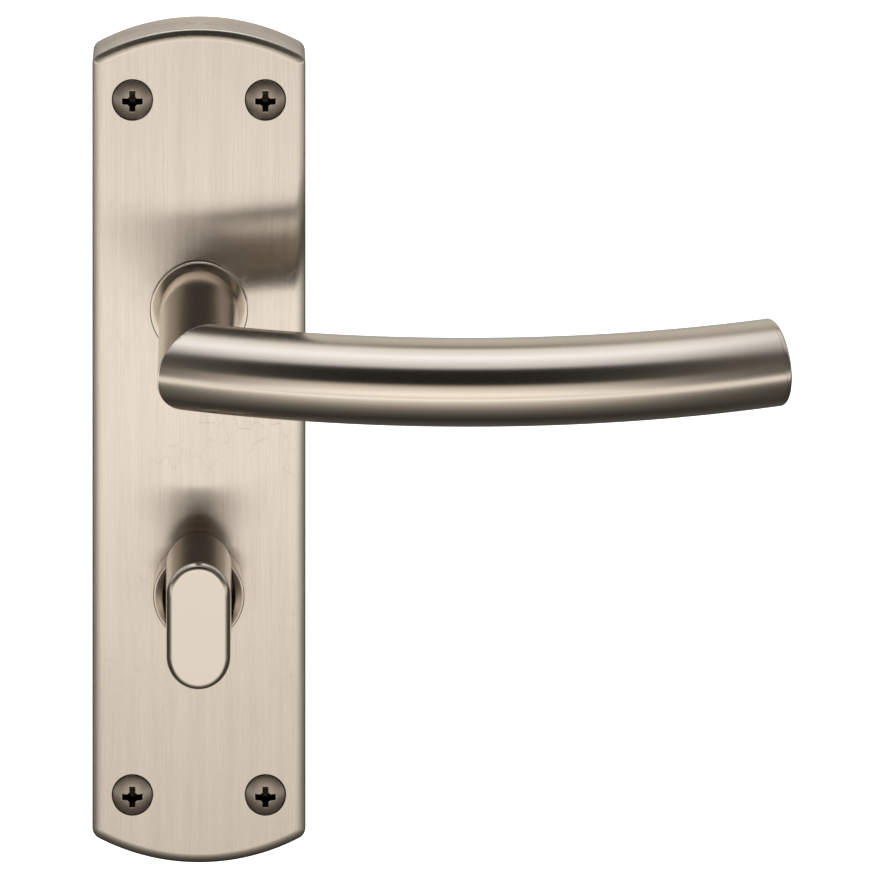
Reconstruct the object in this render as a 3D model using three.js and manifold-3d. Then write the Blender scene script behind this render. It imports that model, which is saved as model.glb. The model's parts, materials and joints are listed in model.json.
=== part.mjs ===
// Bathroom door lever handle on a long cover plate, with a thumb turn below it.
// Millimetres, +Z up, +Y into the door, -Y towards the room, lever pointing to +X.
// The origin is the middle of the plate's back, on the door's surface.
import * as THREE from "three";
import { mergeVertices } from "three/addons/utils/BufferGeometryUtils.js";
import Module from "manifold-3d";

const wasm = await Module();
wasm.setup();

// Cover plate: a pressed shell with arched ends.
const PLATE_HALF_WIDTH = 22;
const PLATE_HALF_HEIGHT = 86;
const PLATE_DEPTH = 8;
const PLATE_WALL = 1.5;
const PLATE_END_RADIUS = 45;
const PLATE_CORNER_RADIUS = 2.4;
const PLATE_EDGE_ROUNDING = 1.8;
const CLEARANCE = 0.3;

// Heights of the two spindles, 57 mm apart as on a bathroom lock.
const LEVER_Z = 28.5;
const TURN_Z = -28.5;

// Lever: a round tube, mitred from the neck into an arched grip.
const TUBE_RADIUS = 8.1;
const TUBE_WALL = 1.5;
const GRIP_ARC_RADIUS = 215;
const GRIP_CROWN_X = 53.5;
const GRIP_CROWN_PROUD = 33.9;
const GRIP_END_X = 115.8;
const END_CAP_THICKNESS = 1.2;
const MITRE_GAP = 0.15;
const NECK_REAR_Y = -7.2;
const COLLAR_RADIUS = 10.1;
const COLLAR_SPIGOT_RADIUS = 9.5;
const COLLAR_LIP_Y = -8.9;
const JOURNAL_RADIUS = 7.4;
const SPIGOT_RADIUS = 6.3;
const SPINDLE_SIZE = 7.7;
const SPINDLE_SOCKET = 8.3;
const SPINDLE_END_Y = 52;
const LEVER_GRUB_Y = -17;

// Spring cassette behind the plate.
const CUP_RADIUS = 17;
const CUP_WALL = 1;
const LID_RADIUS = 18.3;
const LID_EAR_HALF_WIDTH = 4;
const LID_EAR_REACH = 24.5;
const LID_SCREW_REACH = 21;
const SPRING_RADIUS = 13.2;
const SPRING_WIRE_RADIUS = 0.55;
const LUG_REACH = 15;
const LUG_HALF_WIDTH = 3;

// Thumb turn: a stadium-shaped knob in front of a round collar.
const TURN_COLLAR_RADIUS = 9.375;
const TURN_COLLAR_FRONT_Y = -12.5;
const KNOB_HALF_WIDTH = 6.75;
const KNOB_HALF_HEIGHT = 13.1;
const KNOB_REAR_Y = -12.8;
const KNOB_FRONT_Y = -25.55;
const KNOB_DRAFT = 0.3;
const KNOB_EDGE_ROUNDING = 1.3;
const SHANK_RADIUS = 4.7;
const TURN_SPINDLE_SIZE = 4.8;
const TURN_SPINDLE_SOCKET = 5.4;
const TURN_SPINDLE_END_Y = 48;
const TURN_GRUB_Y = -15.2;

// Fixing screws: raised countersunk heads with a cross recess.
const SCREW_X = 13.7;
const SCREW_Z = 71.6;
const SCREW_HEAD_RADIUS = 4.1;
const SCREW_SHANK_RADIUS = 2.1;
const SCREW_TIP_Y = 26;
const RECESS_SPAN = 4.3;
const RECESS_WIDTH = 1;

const ROUND = 32;
const FINE = 20;

// ---------------------------------------------------------------- solids

// A closed geometry as a solid that can be joined and cut.
function solid(geometry) {
  const bare = geometry.clone();
  bare.deleteAttribute("normal");
  bare.deleteAttribute("uv");
  const merged = mergeVertices(bare, 1e-4);
  const corners = merged.index.array;
  const kept = [];
  for (let i = 0; i < corners.length; i += 3) {
    const [a, b, c] = corners.subarray(i, i + 3);
    if (a !== b && b !== c && c !== a) {
      kept.push(a, b, c);
    }
  }
  return new wasm.Manifold(
    new wasm.Mesh({
      numProp: 3,
      vertProperties: new Float32Array(merged.attributes.position.array),
      triVerts: new Uint32Array(kept),
    }),
  );
}

// A flat outline in X and Z, carried from yBack forward to yFront.
function slab(outline, yFront, yBack, segments = 10) {
  const geometry = new THREE.ExtrudeGeometry(outline, {
    depth: yBack - yFront,
    bevelEnabled: false,
    curveSegments: segments,
  });
  geometry.rotateX(Math.PI / 2);
  geometry.translate(0, yBack, 0);
  return solid(geometry);
}

// A slab whose front and back edges are rounded over inside the outline.
function roundedSlab(outline, yFront, yBack, rounding, segments = 10) {
  const geometry = new THREE.ExtrudeGeometry(outline, {
    depth: yBack - yFront - 2 * rounding,
    bevelEnabled: true,
    bevelThickness: rounding,
    bevelSize: rounding,
    bevelOffset: -rounding,
    bevelSegments: 3,
    curveSegments: segments,
  });
  geometry.rotateX(Math.PI / 2);
  geometry.translate(0, yBack - rounding, 0);
  return geometry;
}

// A profile of [radius, y] pairs turned about the line x = 0, z = height.
function turned(profile, height, segments = ROUND) {
  const points = profile.map(([radius, y]) => new THREE.Vector2(radius, y));
  const geometry = new THREE.LatheGeometry(points, segments);
  geometry.translate(0, 0, height);
  return solid(geometry);
}

// A ring of rectangular section about the line x = 0, z = height.
function ring(inner, outer, yFront, yBack, height, segments = ROUND) {
  const profile = [
    [inner, yFront],
    [outer, yFront],
    [outer, yBack],
    [inner, yBack],
    [inner, yFront],
  ];
  return turned(profile, height, segments);
}

// A plain round bar along Y.
function bar(radius, yFront, yBack, height, segments = ROUND) {
  const profile = [
    [0, yFront],
    [radius, yFront],
    [radius, yBack],
    [0, yBack],
  ];
  return turned(profile, height, segments);
}

function block(xLow, xHigh, yLow, yHigh, zLow, zHigh) {
  const geometry = new THREE.BoxGeometry(xHigh - xLow, yHigh - yLow, zHigh - zLow);
  geometry.translate((xLow + xHigh) / 2, (yLow + yHigh) / 2, (zLow + zHigh) / 2);
  return solid(geometry);
}

// A round bar along Z, from zLow to zHigh.
function post(radius, y, zLow, zHigh, segments = 20) {
  const geometry = new THREE.CylinderGeometry(radius, radius, zHigh - zLow, segments);
  geometry.rotateX(Math.PI / 2);
  geometry.translate(0, y, (zLow + zHigh) / 2);
  return solid(geometry);
}

// Everything on the side of a plane that its normal points to.
function halfSpace(point, normal) {
  const geometry = new THREE.BoxGeometry(400, 400, 400);
  geometry.translate(0, 0, 200);
  const turn = new THREE.Quaternion().setFromUnitVectors(new THREE.Vector3(0, 0, 1), normal);
  geometry.applyQuaternion(turn);
  geometry.translate(point.x, point.y, point.z);
  return solid(geometry);
}

// A round section swept along a curve, closed at both ends.
function swept(curve, radius, steps, segments) {
  const section = new THREE.Shape();
  section.absarc(0, 0, radius, 0, 2 * Math.PI, false);
  const geometry = new THREE.ExtrudeGeometry(section, {
    steps,
    extrudePath: curve,
    curveSegments: segments,
    bevelEnabled: false,
  });
  return solid(geometry);
}

function squareOutline(size, corner) {
  const half = size / 2;
  const shape = new THREE.Shape();
  shape.moveTo(half, -half + corner);
  shape.lineTo(half, half - corner);
  shape.lineTo(half - corner, half);
  shape.lineTo(-half + corner, half);
  shape.lineTo(-half, half - corner);
  shape.lineTo(-half, -half + corner);
  shape.lineTo(-half + corner, -half);
  shape.lineTo(half - corner, -half);
  shape.closePath();
  return shape;
}

// ---------------------------------------------------------------- outlines

// The plate's outline, moved inwards by inset: straight sides, arched ends.
function plateOutline(inset) {
  const width = PLATE_HALF_WIDTH - inset;
  const radius = PLATE_END_RADIUS - inset;
  const centre = PLATE_HALF_HEIGHT - PLATE_END_RADIUS;
  const corner = Math.max(PLATE_CORNER_RADIUS - inset, 0.4);
  const across = width - corner;
  const up = Math.sqrt((radius - corner) ** 2 - across ** 2);
  const turn = Math.atan2(up, across);
  const shape = new THREE.Shape();
  shape.moveTo(width, -centre - up);
  shape.lineTo(width, centre + up);
  shape.absarc(across, centre + up, corner, 0, turn, false);
  shape.absarc(0, centre, radius, turn, Math.PI - turn, false);
  shape.absarc(-across, centre + up, corner, Math.PI - turn, Math.PI, false);
  shape.lineTo(-width, -centre - up);
  shape.absarc(-across, -centre - up, corner, Math.PI, Math.PI + turn, false);
  shape.absarc(0, -centre, radius, Math.PI + turn, 2 * Math.PI - turn, false);
  shape.absarc(across, -centre - up, corner, 2 * Math.PI - turn, 2 * Math.PI, false);
  return shape;
}

// A stadium standing on end: two half circles joined by straight sides.
function stadium(halfWidth, halfHeight, height) {
  const reach = halfHeight - halfWidth;
  const shape = new THREE.Shape();
  shape.moveTo(halfWidth, height - reach);
  shape.lineTo(halfWidth, height + reach);
  shape.absarc(0, height + reach, halfWidth, 0, Math.PI, false);
  shape.lineTo(-halfWidth, height - reach);
  shape.absarc(0, height - reach, halfWidth, Math.PI, 2 * Math.PI, false);
  return shape;
}

// ---------------------------------------------------------------- the lever's arc

const GRIP_CENTRE_Y = -PLATE_DEPTH - GRIP_CROWN_PROUD + GRIP_ARC_RADIUS;
const END_ANGLE = Math.asin((GRIP_END_X - GRIP_CROWN_X) / GRIP_ARC_RADIUS);
const MITRE_ANGLE = Math.asin(-GRIP_CROWN_X / GRIP_ARC_RADIUS);

class GripArc extends THREE.Curve {
  constructor(fromAngle, toAngle) {
    super();
    this.fromAngle = fromAngle;
    this.toAngle = toAngle;
  }
  getPoint(t) {
    const angle = this.fromAngle + (this.toAngle - this.fromAngle) * t;
    const x = GRIP_CROWN_X + GRIP_ARC_RADIUS * Math.sin(angle);
    const y = GRIP_CENTRE_Y - GRIP_ARC_RADIUS * Math.cos(angle);
    return new THREE.Vector3(x, y, LEVER_Z);
  }
}

const mitrePoint = new GripArc(MITRE_ANGLE, END_ANGLE).getPoint(0);
const gripDirection = new THREE.Vector3(Math.cos(MITRE_ANGLE), Math.sin(MITRE_ANGLE), 0);
const mitreNormal = new THREE.Vector3(0, -1, 0).add(gripDirection).normalize();

// ---------------------------------------------------------------- plate and frame

const screwPlaces = [
  ["top_left", -SCREW_X, SCREW_Z],
  ["top_right", SCREW_X, SCREW_Z],
  ["bottom_left", -SCREW_X, -SCREW_Z],
  ["bottom_right", SCREW_X, -SCREW_Z],
];

function makeCoverPlate() {
  const outer = roundedSlab(plateOutline(0), -PLATE_DEPTH, 4, PLATE_EDGE_ROUNDING, 7);
  let shell = solid(outer).subtract(block(-60, 60, 0, 20, -120, 120));
  shell = shell.subtract(slab(plateOutline(PLATE_WALL), -PLATE_DEPTH + PLATE_WALL, 1, 5));
  shell = shell.subtract(bar(COLLAR_SPIGOT_RADIUS + CLEARANCE, -20, 5, LEVER_Z));
  shell = shell.subtract(bar(6.2, -20, 5, TURN_Z));
  for (const [, x, z] of screwPlaces) {
    const sink = [
      [0, -8.5],
      [4.95, -8.5],
      [3.05, -6.6],
      [3.05, -5],
      [0, -5],
    ];
    shell = shell.subtract(turned(sink, z, FINE).translate([x, 0, 0]));
  }
  return shell;
}

function makeSupportFrame() {
  let frame = slab(plateOutline(PLATE_WALL + CLEARANCE), -6.2, 0, 5);
  frame = frame.subtract(bar(10.9, -20, 5, LEVER_Z));
  frame = frame.subtract(bar(CUP_RADIUS + CLEARANCE, -5.2, 5, LEVER_Z));
  frame = frame.subtract(slab(lidOutline(CLEARANCE), -1.5, 1, 16));
  frame = frame.subtract(bar(9.3, -20, 5, TURN_Z));
  frame = frame.subtract(bar(11, -4.9, 5, TURN_Z));
  for (const side of [-1, 1]) {
    const hole = bar(1.4, -4.8, 5, LEVER_Z + side * LID_SCREW_REACH, 16);
    frame = frame.subtract(hole);
  }
  for (const [, x, z] of screwPlaces) {
    frame = frame.subtract(bar(2.75, -20, 5, z, FINE).translate([x, 0, 0]));
  }
  // Lightening pockets in the back, with a rib between each pair.
  const pocketRows = [
    [-14.5, 1.5],
    [-51, -42.5],
    [-62.5, -53.5],
    [55.5, 63.5],
    [-81, -78.5],
    [78.5, 81],
  ];
  for (const [low, high] of pocketRows) {
    for (const side of [-1, 1]) {
      const inner = side < 0 ? -15.8 : 1.2;
      frame = frame.subtract(block(inner, inner + 14.6, -4.6, 1, low, high));
    }
  }
  return frame;
}

// ---------------------------------------------------------------- lever

function makeNeck() {
  const length = 60;
  let neck = bar(TUBE_RADIUS, NECK_REAR_Y - length, NECK_REAR_Y, LEVER_Z);
  const bore = bar(TUBE_RADIUS - TUBE_WALL, NECK_REAR_Y - length - 2, NECK_REAR_Y + 2, LEVER_Z);
  neck = neck.subtract(bore);
  const cut = mitrePoint.clone().addScaledVector(mitreNormal, -MITRE_GAP);
  neck = neck.subtract(halfSpace(cut, mitreNormal));
  return neck.subtract(post(2.5, LEVER_GRUB_Y, LEVER_Z - 12, LEVER_Z - 4));
}

function makeGrip() {
  const lead = 20 / GRIP_ARC_RADIUS;
  const capAngle = (END_CAP_THICKNESS + CLEARANCE) / GRIP_ARC_RADIUS;
  const outside = new GripArc(MITRE_ANGLE - lead, END_ANGLE - capAngle);
  const inside = new GripArc(MITRE_ANGLE - 1.2 * lead, END_ANGLE + lead);
  let grip = swept(outside, TUBE_RADIUS, 22, 14);
  grip = grip.subtract(swept(inside, TUBE_RADIUS - TUBE_WALL, 20, 9));
  const cut = mitrePoint.clone().addScaledVector(mitreNormal, MITRE_GAP);
  return grip.subtract(halfSpace(cut, mitreNormal.clone().negate()));
}

function makeEndCap() {
  const face = 0;
  const back = -END_CAP_THICKNESS;
  const plug = TUBE_RADIUS - TUBE_WALL - CLEARANCE;
  const profile = [
    [0, back - 5],
    [plug - 0.6, back - 5],
    [plug, back - 4.4],
    [plug, back],
    [TUBE_RADIUS, back],
    [TUBE_RADIUS, face - 0.6],
    [TUBE_RADIUS - 0.2, face - 0.2],
    [TUBE_RADIUS - 0.6, face],
    [0, face],
  ];
  const points = profile.map(([radius, y]) => new THREE.Vector2(radius, y));
  const geometry = new THREE.LatheGeometry(points, ROUND);
  geometry.rotateZ(END_ANGLE - Math.PI / 2);
  const end = new GripArc(MITRE_ANGLE, END_ANGLE).getPoint(1);
  geometry.translate(end.x, end.y, end.z);
  return solid(geometry);
}

function makeHub() {
  const profile = [
    [0, -24],
    [SPIGOT_RADIUS - 0.5, -24],
    [SPIGOT_RADIUS, -23.5],
    [SPIGOT_RADIUS, NECK_REAR_Y + CLEARANCE],
    [JOURNAL_RADIUS, NECK_REAR_Y + CLEARANCE],
    [JOURNAL_RADIUS, -4.1],
    [6.7, -4.1],
    [6.7, -2.8],
    [JOURNAL_RADIUS, -2.8],
    [JOURNAL_RADIUS, -0.6],
    [0, -0.6],
  ];
  let hub = turned(profile, LEVER_Z);
  hub = hub.subtract(slab(squareOutline(SPINDLE_SOCKET, 0.1), -22.6, 1).translate([0, 0, LEVER_Z]));
  for (const side of [-1, 1]) {
    const flat = block(side < 0 ? -12 : 6.2, side < 0 ? -6.2 : 12, -2.8, 1, LEVER_Z - 12, LEVER_Z + 12);
    hub = hub.subtract(flat);
  }
  return hub.subtract(post(2.3, LEVER_GRUB_Y, LEVER_Z - 12, LEVER_Z - 2));
}

function makeGrub(radius, y, zLow, zHigh) {
  const screw = post(radius, y, zLow, zHigh);
  const socket = new THREE.CylinderGeometry(radius * 0.55, radius * 0.55, 1.6, 6);
  socket.rotateX(Math.PI / 2);
  socket.translate(0, y, zLow + 0.2);
  return screw.subtract(solid(socket));
}

function makeSpindle(size, yFront, yBack, height) {
  const body = roundedSlab(squareOutline(size, 0.35), yFront, yBack, 0.5, 2);
  return solid(body).translate([0, 0, height]);
}

// A low ring in the plate's hole, whose front rolls inwards to the neck like a countersink.
function makeCollar() {
  const bore = TUBE_RADIUS + CLEARANCE;
  const profile = [
    [bore, -7],
    [bore, -7.6],
    [bore + 0.3, -8.1],
    [bore + 0.8, -8.55],
    [COLLAR_RADIUS - 0.35, COLLAR_LIP_Y],
    [COLLAR_RADIUS, COLLAR_LIP_Y + 0.25],
    [COLLAR_RADIUS, -8.3],
    [COLLAR_SPIGOT_RADIUS, -8.3],
    [COLLAR_SPIGOT_RADIUS, -7],
    [bore, -7],
  ];
  return turned(profile, LEVER_Z);
}

function makeLeverBush() {
  const bore = JOURNAL_RADIUS + CLEARANCE;
  const profile = [
    [bore, -6.6],
    [8.9, -6.6],
    [8.9, -6.2],
    [10.6, -6.2],
    [10.6, -5.2],
    [bore, -5.2],
    [bore, -6.6],
  ];
  return turned(profile, LEVER_Z);
}

// ---------------------------------------------------------------- spring cassette

function makeCup() {
  const profile = [
    [JOURNAL_RADIUS + CLEARANCE, -4.9],
    [CUP_RADIUS, -4.9],
    [CUP_RADIUS, -1.5],
    [CUP_RADIUS - CUP_WALL, -1.5],
    [CUP_RADIUS - CUP_WALL, -4.1],
    [JOURNAL_RADIUS + CLEARANCE, -4.1],
    [JOURNAL_RADIUS + CLEARANCE, -4.9],
  ];
  return turned(profile, LEVER_Z);
}

// The lid's outline: a disc with an ear above it and an ear below it.
function lidOutline(grow) {
  const radius = LID_RADIUS + grow;
  const half = LID_EAR_HALF_WIDTH + grow;
  const reach = LID_EAR_REACH + grow;
  const turn = Math.acos(half / radius);
  const shape = new THREE.Shape();
  shape.absarc(0, LEVER_Z, radius, -turn, turn, false);
  shape.lineTo(half, LEVER_Z + reach);
  shape.lineTo(-half, LEVER_Z + reach);
  shape.absarc(0, LEVER_Z, radius, Math.PI - turn, Math.PI + turn, false);
  shape.lineTo(-half, LEVER_Z - reach);
  shape.lineTo(half, LEVER_Z - reach);
  shape.closePath();
  return shape;
}

function makeLid() {
  let lid = slab(lidOutline(0), -1.2, -0.2, 16);
  lid = lid.subtract(bar(JOURNAL_RADIUS + CLEARANCE, -5, 5, LEVER_Z));
  for (const side of [-1, 1]) {
    const sink = [
      [0, -2],
      [1.4, -2],
      [1.4, -1.2],
      [2.9, 0.3],
      [0, 0.3],
    ];
    lid = lid.subtract(turned(sink, LEVER_Z + side * LID_SCREW_REACH, 24));
  }
  return lid;
}

function makeCassetteScrew(side) {
  const profile = [
    [0, -4.5],
    [0.8, -4.5],
    [1.1, -4.1],
    [1.1, -1.2],
    [2.1, -0.2],
    [0, -0.2],
  ];
  const height = LEVER_Z + side * LID_SCREW_REACH;
  const screw = turned(profile, height, 24);
  return screw.subtract(block(-1.9, 1.9, -0.7, 1, height - 0.25, height + 0.25));
}

class SpringPath extends THREE.Curve {
  getPoint(t) {
    const first = THREE.MathUtils.degToRad(107);
    const last = THREE.MathUtils.degToRad(433);
    const angle = first + (last - first) * t;
    const fromEnd = Math.min(t, 1 - t);
    const rise = 1 - THREE.MathUtils.smoothstep(fromEnd, 0, 0.035);
    const x = SPRING_RADIUS * Math.cos(angle);
    const z = LEVER_Z + SPRING_RADIUS * Math.sin(angle);
    return new THREE.Vector3(x, -3.3 + 1.1 * rise, z);
  }
}

function makeReturnSpring() {
  return swept(new SpringPath(), SPRING_WIRE_RADIUS, 44, 3);
}

function makeSpringDriver() {
  let driver = bar(10.4, -2.5, -1.5, LEVER_Z);
  const top = LEVER_Z + LUG_REACH;
  driver = driver.add(block(-LUG_HALF_WIDTH, LUG_HALF_WIDTH, -2.5, -1.5, LEVER_Z + 5, top));
  let bore = bar(JOURNAL_RADIUS + CLEARANCE, -5, 5, LEVER_Z);
  for (const side of [-1, 1]) {
    const flat = block(side < 0 ? -12 : 6.5, side < 0 ? -6.5 : 12, -6, 6, LEVER_Z - 12, LEVER_Z + 12);
    bore = bore.subtract(flat);
  }
  return driver.subtract(bore);
}

// A retaining ring with a gap at the bottom and two ears with holes.
function makeCirclip(inner, outer, yFront, yBack, height) {
  let clip = ring(inner, outer, yFront, yBack, height);
  const gap = inner * 0.28;
  clip = clip.subtract(block(-gap, gap, -10, 2, height - outer - 3, height));
  for (const side of [-1, 1]) {
    const x = side * (gap + 0.75);
    const z = height - outer + 0.15;
    clip = clip.add(bar(0.95, yFront, yBack, z, 16).translate([x, 0, 0]));
    clip = clip.subtract(bar(0.4, -10, 2, z, 12).translate([x, 0, 0]));
  }
  return clip;
}

// ---------------------------------------------------------------- thumb turn

function makeTurnKnob() {
  const outline = stadium(KNOB_HALF_WIDTH, KNOB_HALF_HEIGHT, 0);
  const body = roundedSlab(outline, KNOB_FRONT_Y, KNOB_REAR_Y + 4, KNOB_EDGE_ROUNDING, 9);
  const place = body.attributes.position;
  const depth = KNOB_REAR_Y - KNOB_FRONT_Y;
  for (let i = 0; i < place.count; i += 1) {
    const along = (KNOB_REAR_Y - place.getY(i)) / depth;
    const narrow = 1 - (KNOB_DRAFT / KNOB_HALF_WIDTH) * along;
    const low = 1 - (KNOB_DRAFT / KNOB_HALF_HEIGHT) * along;
    place.setX(i, place.getX(i) * narrow);
    place.setZ(i, place.getZ(i) * low);
  }
  body.translate(0, 0, TURN_Z);
  let knob = solid(body).subtract(block(-40, 40, KNOB_REAR_Y, 20, -80, 20));
  const shank = [
    [0, KNOB_REAR_Y - 2],
    [SHANK_RADIUS, KNOB_REAR_Y - 2],
    [SHANK_RADIUS, -4.2],
    [4.2, -4.2],
    [4.2, -2.8],
    [SHANK_RADIUS, -2.8],
    [SHANK_RADIUS, -1.9],
    [SHANK_RADIUS - 0.3, -1.6],
    [0, -1.6],
  ];
  knob = knob.add(turned(shank, TURN_Z));
  const socket = slab(squareOutline(TURN_SPINDLE_SOCKET, 0.1), -18, 1);
  knob = knob.subtract(socket.translate([0, 0, TURN_Z]));
  return knob.subtract(post(1.8, TURN_GRUB_Y, TURN_Z - 20, TURN_Z - 1));
}

function makeTurnCollar() {
  const profile = [
    [6.2, -11.1],
    [7, TURN_COLLAR_FRONT_Y + 0.8],
    [8, TURN_COLLAR_FRONT_Y + 0.28],
    [TURN_COLLAR_RADIUS - 0.4, TURN_COLLAR_FRONT_Y],
    [TURN_COLLAR_RADIUS - 0.12, TURN_COLLAR_FRONT_Y + 0.12],
    [TURN_COLLAR_RADIUS, TURN_COLLAR_FRONT_Y + 0.4],
    [TURN_COLLAR_RADIUS, -8.3],
    [6.2, -8.3],
    [6.2, -11.1],
  ];
  return turned(profile, TURN_Z);
}

function makeTurnBush() {
  const profile = [
    [5, -10.8],
    [5.9, -10.8],
    [5.9, -6.2],
    [9, -6.2],
    [9, -5.2],
    [5, -5.2],
    [5, -10.8],
  ];
  return turned(profile, TURN_Z);
}

// ---------------------------------------------------------------- fixing screws

function makeFixingScrew(x, z) {
  const profile = [
    [0, -9.35],
    [1.2, -9.3],
    [2.4, -9.1],
    [3.4, -8.65],
    [SCREW_HEAD_RADIUS, -8.05],
    [SCREW_HEAD_RADIUS, -7.9],
    [SCREW_SHANK_RADIUS, -5.9],
    [SCREW_SHANK_RADIUS, 7],
    [1.6, 7.5],
    [1.6, SCREW_TIP_Y - 4],
    [0, SCREW_TIP_Y],
  ];
  let screw = turned(profile, z, FINE);
  const half = RECESS_SPAN / 2;
  const thin = RECESS_WIDTH / 2;
  screw = screw.subtract(block(-half, half, -12, -7.7, z - thin, z + thin));
  screw = screw.subtract(block(-thin, thin, -12, -7.7, z - half, z + half));
  return screw.translate([x, 0, 0]);
}

// ---------------------------------------------------------------- assembly

const SATIN = { color: 0xd9ccbf, roughness: 0.36, metalness: 1 };
const BRIGHT = { color: 0xd6cabb, roughness: 0.22, metalness: 1 };
const SCREW_METAL = { color: 0x9a8a78, roughness: 0.34, metalness: 1 };
const ZINC = { color: 0xb4b2ac, roughness: 0.5, metalness: 1 };
const SPRING_STEEL = { color: 0x6d6a66, roughness: 0.4, metalness: 1 };
const NYLON = { color: 0xe6e3da, roughness: 0.6, metalness: 0 };
const DARK_STEEL = { color: 0x3b3a39, roughness: 0.45, metalness: 1 };

const handle = new THREE.Group();
const fixed = new THREE.Group();
const lever = new THREE.Group();
const turn = new THREE.Group();
handle.add(fixed, lever, turn);

function place(group, name, made, look) {
  const data = made.getMesh();
  const geometry = new THREE.BufferGeometry();
  const points = new Float32Array(data.numVert * 3);
  for (let i = 0; i < data.numVert; i += 1) {
    points.set(data.vertProperties.subarray(i * data.numProp, i * data.numProp + 3), i * 3);
  }
  geometry.setAttribute("position", new THREE.BufferAttribute(points, 3));
  geometry.setIndex(new THREE.BufferAttribute(data.triVerts, 1));
  geometry.computeVertexNormals();
  const mesh = new THREE.Mesh(geometry, new THREE.MeshStandardMaterial(look));
  mesh.name = name;
  group.add(mesh);
}

place(fixed, "cover_plate", makeCoverPlate(), SATIN);
place(fixed, "support_frame", makeSupportFrame(), ZINC);
place(fixed, "lever_collar", makeCollar(), BRIGHT);
place(fixed, "lever_bush", makeLeverBush(), NYLON);
place(fixed, "cassette_cup", makeCup(), ZINC);
place(fixed, "cassette_lid", makeLid(), ZINC);
place(fixed, "cassette_screw_upper", makeCassetteScrew(1), DARK_STEEL);
place(fixed, "cassette_screw_lower", makeCassetteScrew(-1), DARK_STEEL);
place(fixed, "turn_collar", makeTurnCollar(), BRIGHT);
place(fixed, "turn_bush", makeTurnBush(), NYLON);
for (const [where, x, z] of screwPlaces) {
  place(fixed, "fixing_screw_" + where, makeFixingScrew(x, z), SCREW_METAL);
}

place(lever, "lever_neck", makeNeck(), BRIGHT);
place(lever, "lever_grip", makeGrip(), BRIGHT);
place(lever, "grip_end_cap", makeEndCap(), BRIGHT);
place(lever, "lever_hub", makeHub(), ZINC);
place(lever, "lever_grub_screw", makeGrub(2, LEVER_GRUB_Y, LEVER_Z - 7.7, LEVER_Z - 4.2), DARK_STEEL);
place(lever, "lever_spindle", makeSpindle(SPINDLE_SIZE, -22.2, SPINDLE_END_Y, LEVER_Z), ZINC);
place(lever, "spring_driver", makeSpringDriver(), ZINC);
place(lever, "return_spring", makeReturnSpring(), SPRING_STEEL);
place(lever, "lever_circlip", makeCirclip(7, 9.4, -3.8, -3.1, LEVER_Z), DARK_STEEL);

place(turn, "turn_knob", makeTurnKnob(), SATIN);
place(turn, "turn_washer", ring(5, 7.6, -4.9, -4.5, TURN_Z), ZINC);
place(turn, "turn_circlip", makeCirclip(4.5, 6.5, -3.9, -3.1, TURN_Z), DARK_STEEL);
place(turn, "turn_spindle", makeSpindle(TURN_SPINDLE_SIZE, -17.7, TURN_SPINDLE_END_Y, TURN_Z), ZINC);
place(turn, "turn_grub_screw", makeGrub(1.5, TURN_GRUB_Y, TURN_Z - 10.5, TURN_Z - 2.7), DARK_STEEL);

export default handle;
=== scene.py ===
"""A bathroom door lever handle on a long plate, with a thumb turn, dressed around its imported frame.

Metres throughout. +Y goes into the door, -Y into the room, +Z is up and the lever points to +X.
"""

import json
import logging
import math
from collections.abc import Callable
from dataclasses import dataclass, field
from enum import Enum

import bpy
from mathutils import Matrix, Vector


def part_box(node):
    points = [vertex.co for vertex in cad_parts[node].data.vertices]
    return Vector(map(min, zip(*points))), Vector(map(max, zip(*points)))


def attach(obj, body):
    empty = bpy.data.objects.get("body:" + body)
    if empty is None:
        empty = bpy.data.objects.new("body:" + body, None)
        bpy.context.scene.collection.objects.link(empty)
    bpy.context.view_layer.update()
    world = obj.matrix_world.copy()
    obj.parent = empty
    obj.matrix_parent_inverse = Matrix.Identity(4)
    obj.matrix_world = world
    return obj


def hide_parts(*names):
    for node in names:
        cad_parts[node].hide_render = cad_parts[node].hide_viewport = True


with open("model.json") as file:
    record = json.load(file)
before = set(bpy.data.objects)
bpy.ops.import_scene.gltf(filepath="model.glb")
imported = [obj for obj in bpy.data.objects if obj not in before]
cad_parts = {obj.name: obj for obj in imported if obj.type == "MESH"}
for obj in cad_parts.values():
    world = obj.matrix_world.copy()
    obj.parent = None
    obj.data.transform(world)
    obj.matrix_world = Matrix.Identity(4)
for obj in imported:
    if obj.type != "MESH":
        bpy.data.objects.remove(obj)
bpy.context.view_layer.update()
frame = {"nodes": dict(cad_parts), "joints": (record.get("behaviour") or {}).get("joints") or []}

MM = 0.001
MERGE_DISTANCE = 1e-6
FLAT = 0.9
LOG = logging.getLogger("door_handle")

Signal = bpy.types.NodeSocket | float


# ------------------------------------------------------------------ bench work


def clear_bench() -> None:
    """Leave object mode with nothing selected."""
    if bpy.context.mode != "OBJECT":
        bpy.ops.object.mode_set(mode="OBJECT")
    bpy.ops.object.select_all(action="DESELECT")


def pick_up(piece: bpy.types.Object) -> None:
    """Make one piece the only selected and active one.

    Args:
        piece: the piece to work on.
    """
    clear_bench()
    piece.select_set(True)
    bpy.context.view_layer.objects.active = piece


def open_mesh(piece: bpy.types.Object, mode: str = "VERT") -> None:
    """Go into edit mode on a piece with nothing selected.

    Args:
        piece: the piece to open.
        mode: VERT, EDGE or FACE selection.
    """
    pick_up(piece)
    bpy.ops.object.mode_set(mode="EDIT")
    bpy.ops.mesh.select_mode(type=mode)
    bpy.ops.mesh.select_all(action="DESELECT")


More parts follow.
